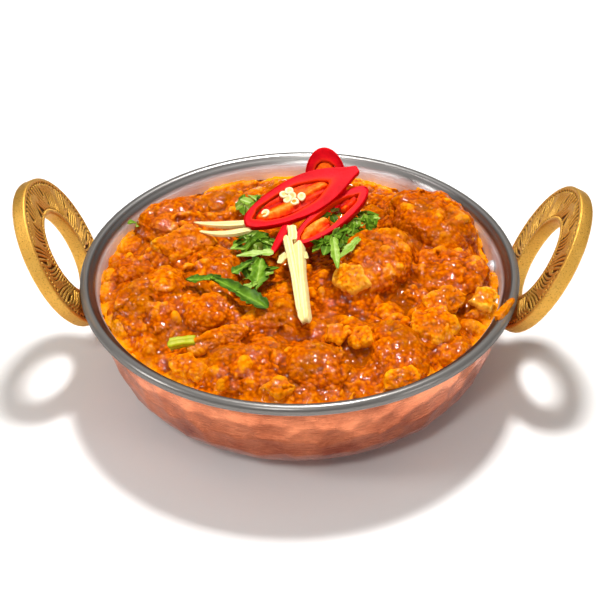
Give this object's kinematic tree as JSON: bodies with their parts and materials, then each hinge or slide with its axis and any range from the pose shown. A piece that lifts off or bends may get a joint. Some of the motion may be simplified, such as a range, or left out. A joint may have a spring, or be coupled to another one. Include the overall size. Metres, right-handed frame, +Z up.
{
  "type": "karahi dish of lamb masala",
  "caption": "Lamb masala curry in a round hammered copper karahi with steel liner and brass ring handles, garnished with red chilli, ginger and coriander.",
  "frame": {"origin": "centre of the bowl's base, on the surface it stands on", "axes": "+Z up, +X through both handles, +Y to the back of the dish"},
  "size_m": [0.192, 0.1496, 0.0736],
  "materials": {
    "chilli_skin": "waxy red chilli flesh and skin",
    "chilli_core": "orange membrane inside the chilli",
    "copper": "hammered and brushed copper, copper coloured",
    "coriander": "fresh green leaves",
    "ginger": "pale raw ginger",
    "stem": "yellow-green vegetable stem",
    "brass": "satin cast brass with dark patina in the engraving",
    "lamb": "stewed lamb coated with sauce",
    "sauce": "wet, grainy orange-brown masala sauce",
    "onion": "soft cooked onion coated with sauce",
    "steel": "brushed inside, polished on the rolled rim"
  },
  "bodies": {
    "root": {"chilli_slice_back": "chilli_skin", "chilli_slice_back_core": "chilli_core", "chilli_slice_edge": "chilli_skin", "chilli_slice_lower": "chilli_skin", "chilli_slice_top": "chilli_skin", "chilli_slice_top_core": "chilli_core", "copper_shell": "copper", "coriander_heap_back": "coriander", "coriander_heap_front": "coriander", "coriander_heap_left": "coriander", "coriander_heap_right": "coriander", "coriander_leaf_large": "coriander", "coriander_leaf_right": "coriander", "coriander_leaf_tip": "coriander", "ginger_left_long": "ginger", "ginger_left_second": "ginger", "ginger_middle_long": "ginger", "ginger_middle_second": "ginger", "ginger_short_left": "ginger", "green_stem": "stem", "handle_left": "brass", "handle_right": "brass", "lamb_back_left": "lamb", "lamb_back_middle": "lamb", "lamb_back_right": "lamb", "lamb_back_second": "lamb", "lamb_front": "lamb", "lamb_front_left": "lamb", "lamb_front_middle": "lamb", "lamb_front_right": "lamb", "lamb_left_large": "lamb", "lamb_left_small": "lamb", "lamb_low_right": "lamb", "lamb_middle": "lamb", "lamb_middle_left": "lamb", "lamb_right": "lamb", "lamb_right_edge": "lamb", "masala_sauce": "sauce", "onion_front_curl": "onion", "onion_front_flap": "onion", "onion_front_second": "onion", "onion_front_small": "onion", "onion_low_left": "onion", "onion_middle": "onion", "onion_petal_left": "onion", "onion_ridge_left": "onion", "onion_right": "onion", "onion_right_end": "onion", "onion_right_low": "onion", "onion_rim_strip": "onion", "rivet_left_1": "steel", "rivet_left_2": "steel", "rivet_right_1": "steel", "rivet_right_2": "steel", "steel_liner": "steel"}
  },
  "joints": []
}
